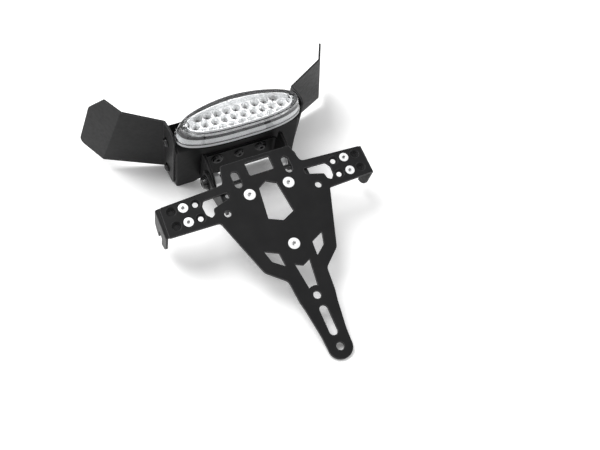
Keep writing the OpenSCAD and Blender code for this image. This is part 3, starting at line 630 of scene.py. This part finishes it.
board_green = finish_named("board_green", (0.03, 0.16, 0.06), 0.35)
mottled(board_green, 90.0, 4.0, (0.02, 0.12, 0.045), (0.04, 0.2, 0.08))
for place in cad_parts["lamp_circuit_board"].material_slots:
    place.material = board_green
diode_dark = finish_named("diode_dark", (0.05, 0.048, 0.048), 0.12)
mottled(diode_dark, 700.0, 2.0, (0.03, 0.029, 0.029), (0.08, 0.076, 0.076))
diode = stacked([(1.5, 4.02), (1.5, 4.5), (diode_radius, 4.6), (diode_radius, diode_shoulder)]
                + [(diode_radius * math.cos(a), diode_shoulder + diode_radius * math.sin(a))
                   for a in map(math.radians, (20, 40, 60, 80))])
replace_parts(gathered("diodes", "tail", "led", diode_dark, (diode, cell_places)), "lamp_leds")

# Reflector: a vacuum-plated tray with a cell round each diode. Each cell is
# lined with eight flat facets in three steps, which break the light up.
mirror_plate = finish_named("mirror_plate", (0.90, 0.905, 0.91), 0.07, 0.35)
mottled(mirror_plate, 120.0, 3.0, (0.80, 0.805, 0.81), (0.90, 0.905, 0.91))
uneven_gloss(mirror_plate, 240.0, 2.0, 0.05, 0.12)
mirror_nodes = mirror_plate.node_tree.nodes
broken = mirror_nodes.new("ShaderNodeTexVoronoi")
broken.inputs["Scale"].default_value = 420.0
mirror_plate.node_tree.links.new(mirror_nodes.new("ShaderNodeTexCoord").outputs["Object"], broken.inputs["Vector"])
grain(mirror_plate, broken.outputs["Distance"], 0.0012, 0.7)
eased_skin("reflector_tray", "lamp_reflector", "tail", 0.0, mirror_plate)
facets = stacked([(2.3, 5.6, 8), (3.2, 8.0, 8), (4.1, 10.6, 8), (4.85, 13.0, 8), (4.95, 13.03, 8),
                  (4.2, 10.55, 8), (3.3, 7.95, 8), (2.4, 5.55, 8)], closed=True)
gathered("cell_facets", "tail", "chrome", mirror_plate, (facets, cell_places))
oval_band("reflector_rim", mirror_plate,
          [(57.2, 15.6, 13.05, 13.05, 2.0, 2.65, 0.35), (58.4, 15.8, 19.3, 19.3, 1.8, 2.7, 0.35),
           (57.8, 15.2, 19.3, 19.3, 1.8, 2.7, 0.35), (56.4, 14.8, 13.05, 13.05, 2.0, 2.65, 0.35)])

# Lens: a clear acrylic shell that throws no shadow on the reflector, with a
# fluted band inside its side wall and a thin black seal round its foot. Two
# small cross-head screws in pockets hold it at the ends.
clear_acrylic = finish_named("clear_acrylic", (0.97, 0.975, 0.98), 0.02)
shader_of(clear_acrylic).inputs["Transmission Weight"].default_value = 1.0
shader_of(clear_acrylic).inputs["IOR"].default_value = 1.45
uneven_gloss(clear_acrylic, 90.0, 2.0, 0.012, 0.03)
eased_skin("lens_shell", "lamp_lens", "tail", 0.0, clear_acrylic).visible_shadow = False
smoked_acrylic = finish_named("smoked_acrylic", (0.03, 0.03, 0.031), 0.45)
shader_of(smoked_acrylic).inputs["Specular IOR Level"].default_value = 0.25
mottled(smoked_acrylic, 160.0, 2.0, (0.02, 0.02, 0.021), (0.05, 0.05, 0.052))
oval_band("fluted_band", smoked_acrylic,
          [(67.0, 20.37, 12.6, 12.6, 2.04, 2.67, 0.4), (64.2, 19.8, 20.6, 16.6, 1.76, 2.7, 0.4),
           (62.9, 18.5, 20.6, 16.6, 1.76, 2.7, 0.3), (65.7, 19.1, 12.6, 12.6, 2.04, 2.67, 0.3)])
oval_band("lens_seal", rubber_black,
          [(69.4, 20.9, 3.95, 3.95, 2.25, 2.65, 0), (69.4, 20.9, 4.4, 4.4, 2.25, 2.65, 0),
           (68.0, 19.5, 4.4, 4.4, 2.25, 2.65, 0), (68.0, 19.5, 3.95, 3.95, 2.25, 2.65, 0)])
eased_skin("lens_screws", "lamp_screws", "tail", 0.1 * MM, bright_zinc)

# Lamp studs and nuts: two M5 studs moulded into the tray pass through the
# seal and the flange, where nuts draw the lamp up.
flange_back = -10.407
stud_places = [lamp_place @ Matrix.Translation(Vector((x, 9, 0)) * MM) for x in (-40, 40)]
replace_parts(gathered("threaded_studs", "tail", "zinc", bright_zinc,
                     (thread(2.5, 0.8, flange_back - 6.0, 1.4), stud_places)), "lamp_studs")
nut_seat = Matrix.Translation((0, 0, flange_back * MM)) @ Matrix.Rotation(math.pi, 4, "X")
nuts("lamp_hex_nuts", "lamp_nuts", "tail", [place @ nut_seat for place in stud_places], m5_nut)

# Grommet: a rubber plug in the flange where the lamp's wiring would leave,
# with a rounded rim and a short neck.
plug_place = lamp_place @ Matrix.Translation((0, 10.2 * MM, 0))
plug = stacked([(3.2, flange_back - 6.0), (3.4, flange_back - 5.8), (3.9, flange_back - 4.2),
                (3.7, flange_back - 3.9), (4.1, flange_back - 2.6), (4.3, flange_back - 2.1),
                (5.9, flange_back - 2.0), (6.3, flange_back - 1.7), (6.4, flange_back - 1.0),
                (6.3, flange_back - 0.3), (5.9, flange_back - 0.02), (4.9, flange_back), (4.9, -0.6), (4.7, -0.45)])
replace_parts(gathered("wiring_plug", "tail", "rubber", rubber_black, (plug, [plug_place])), "cable_grommet")
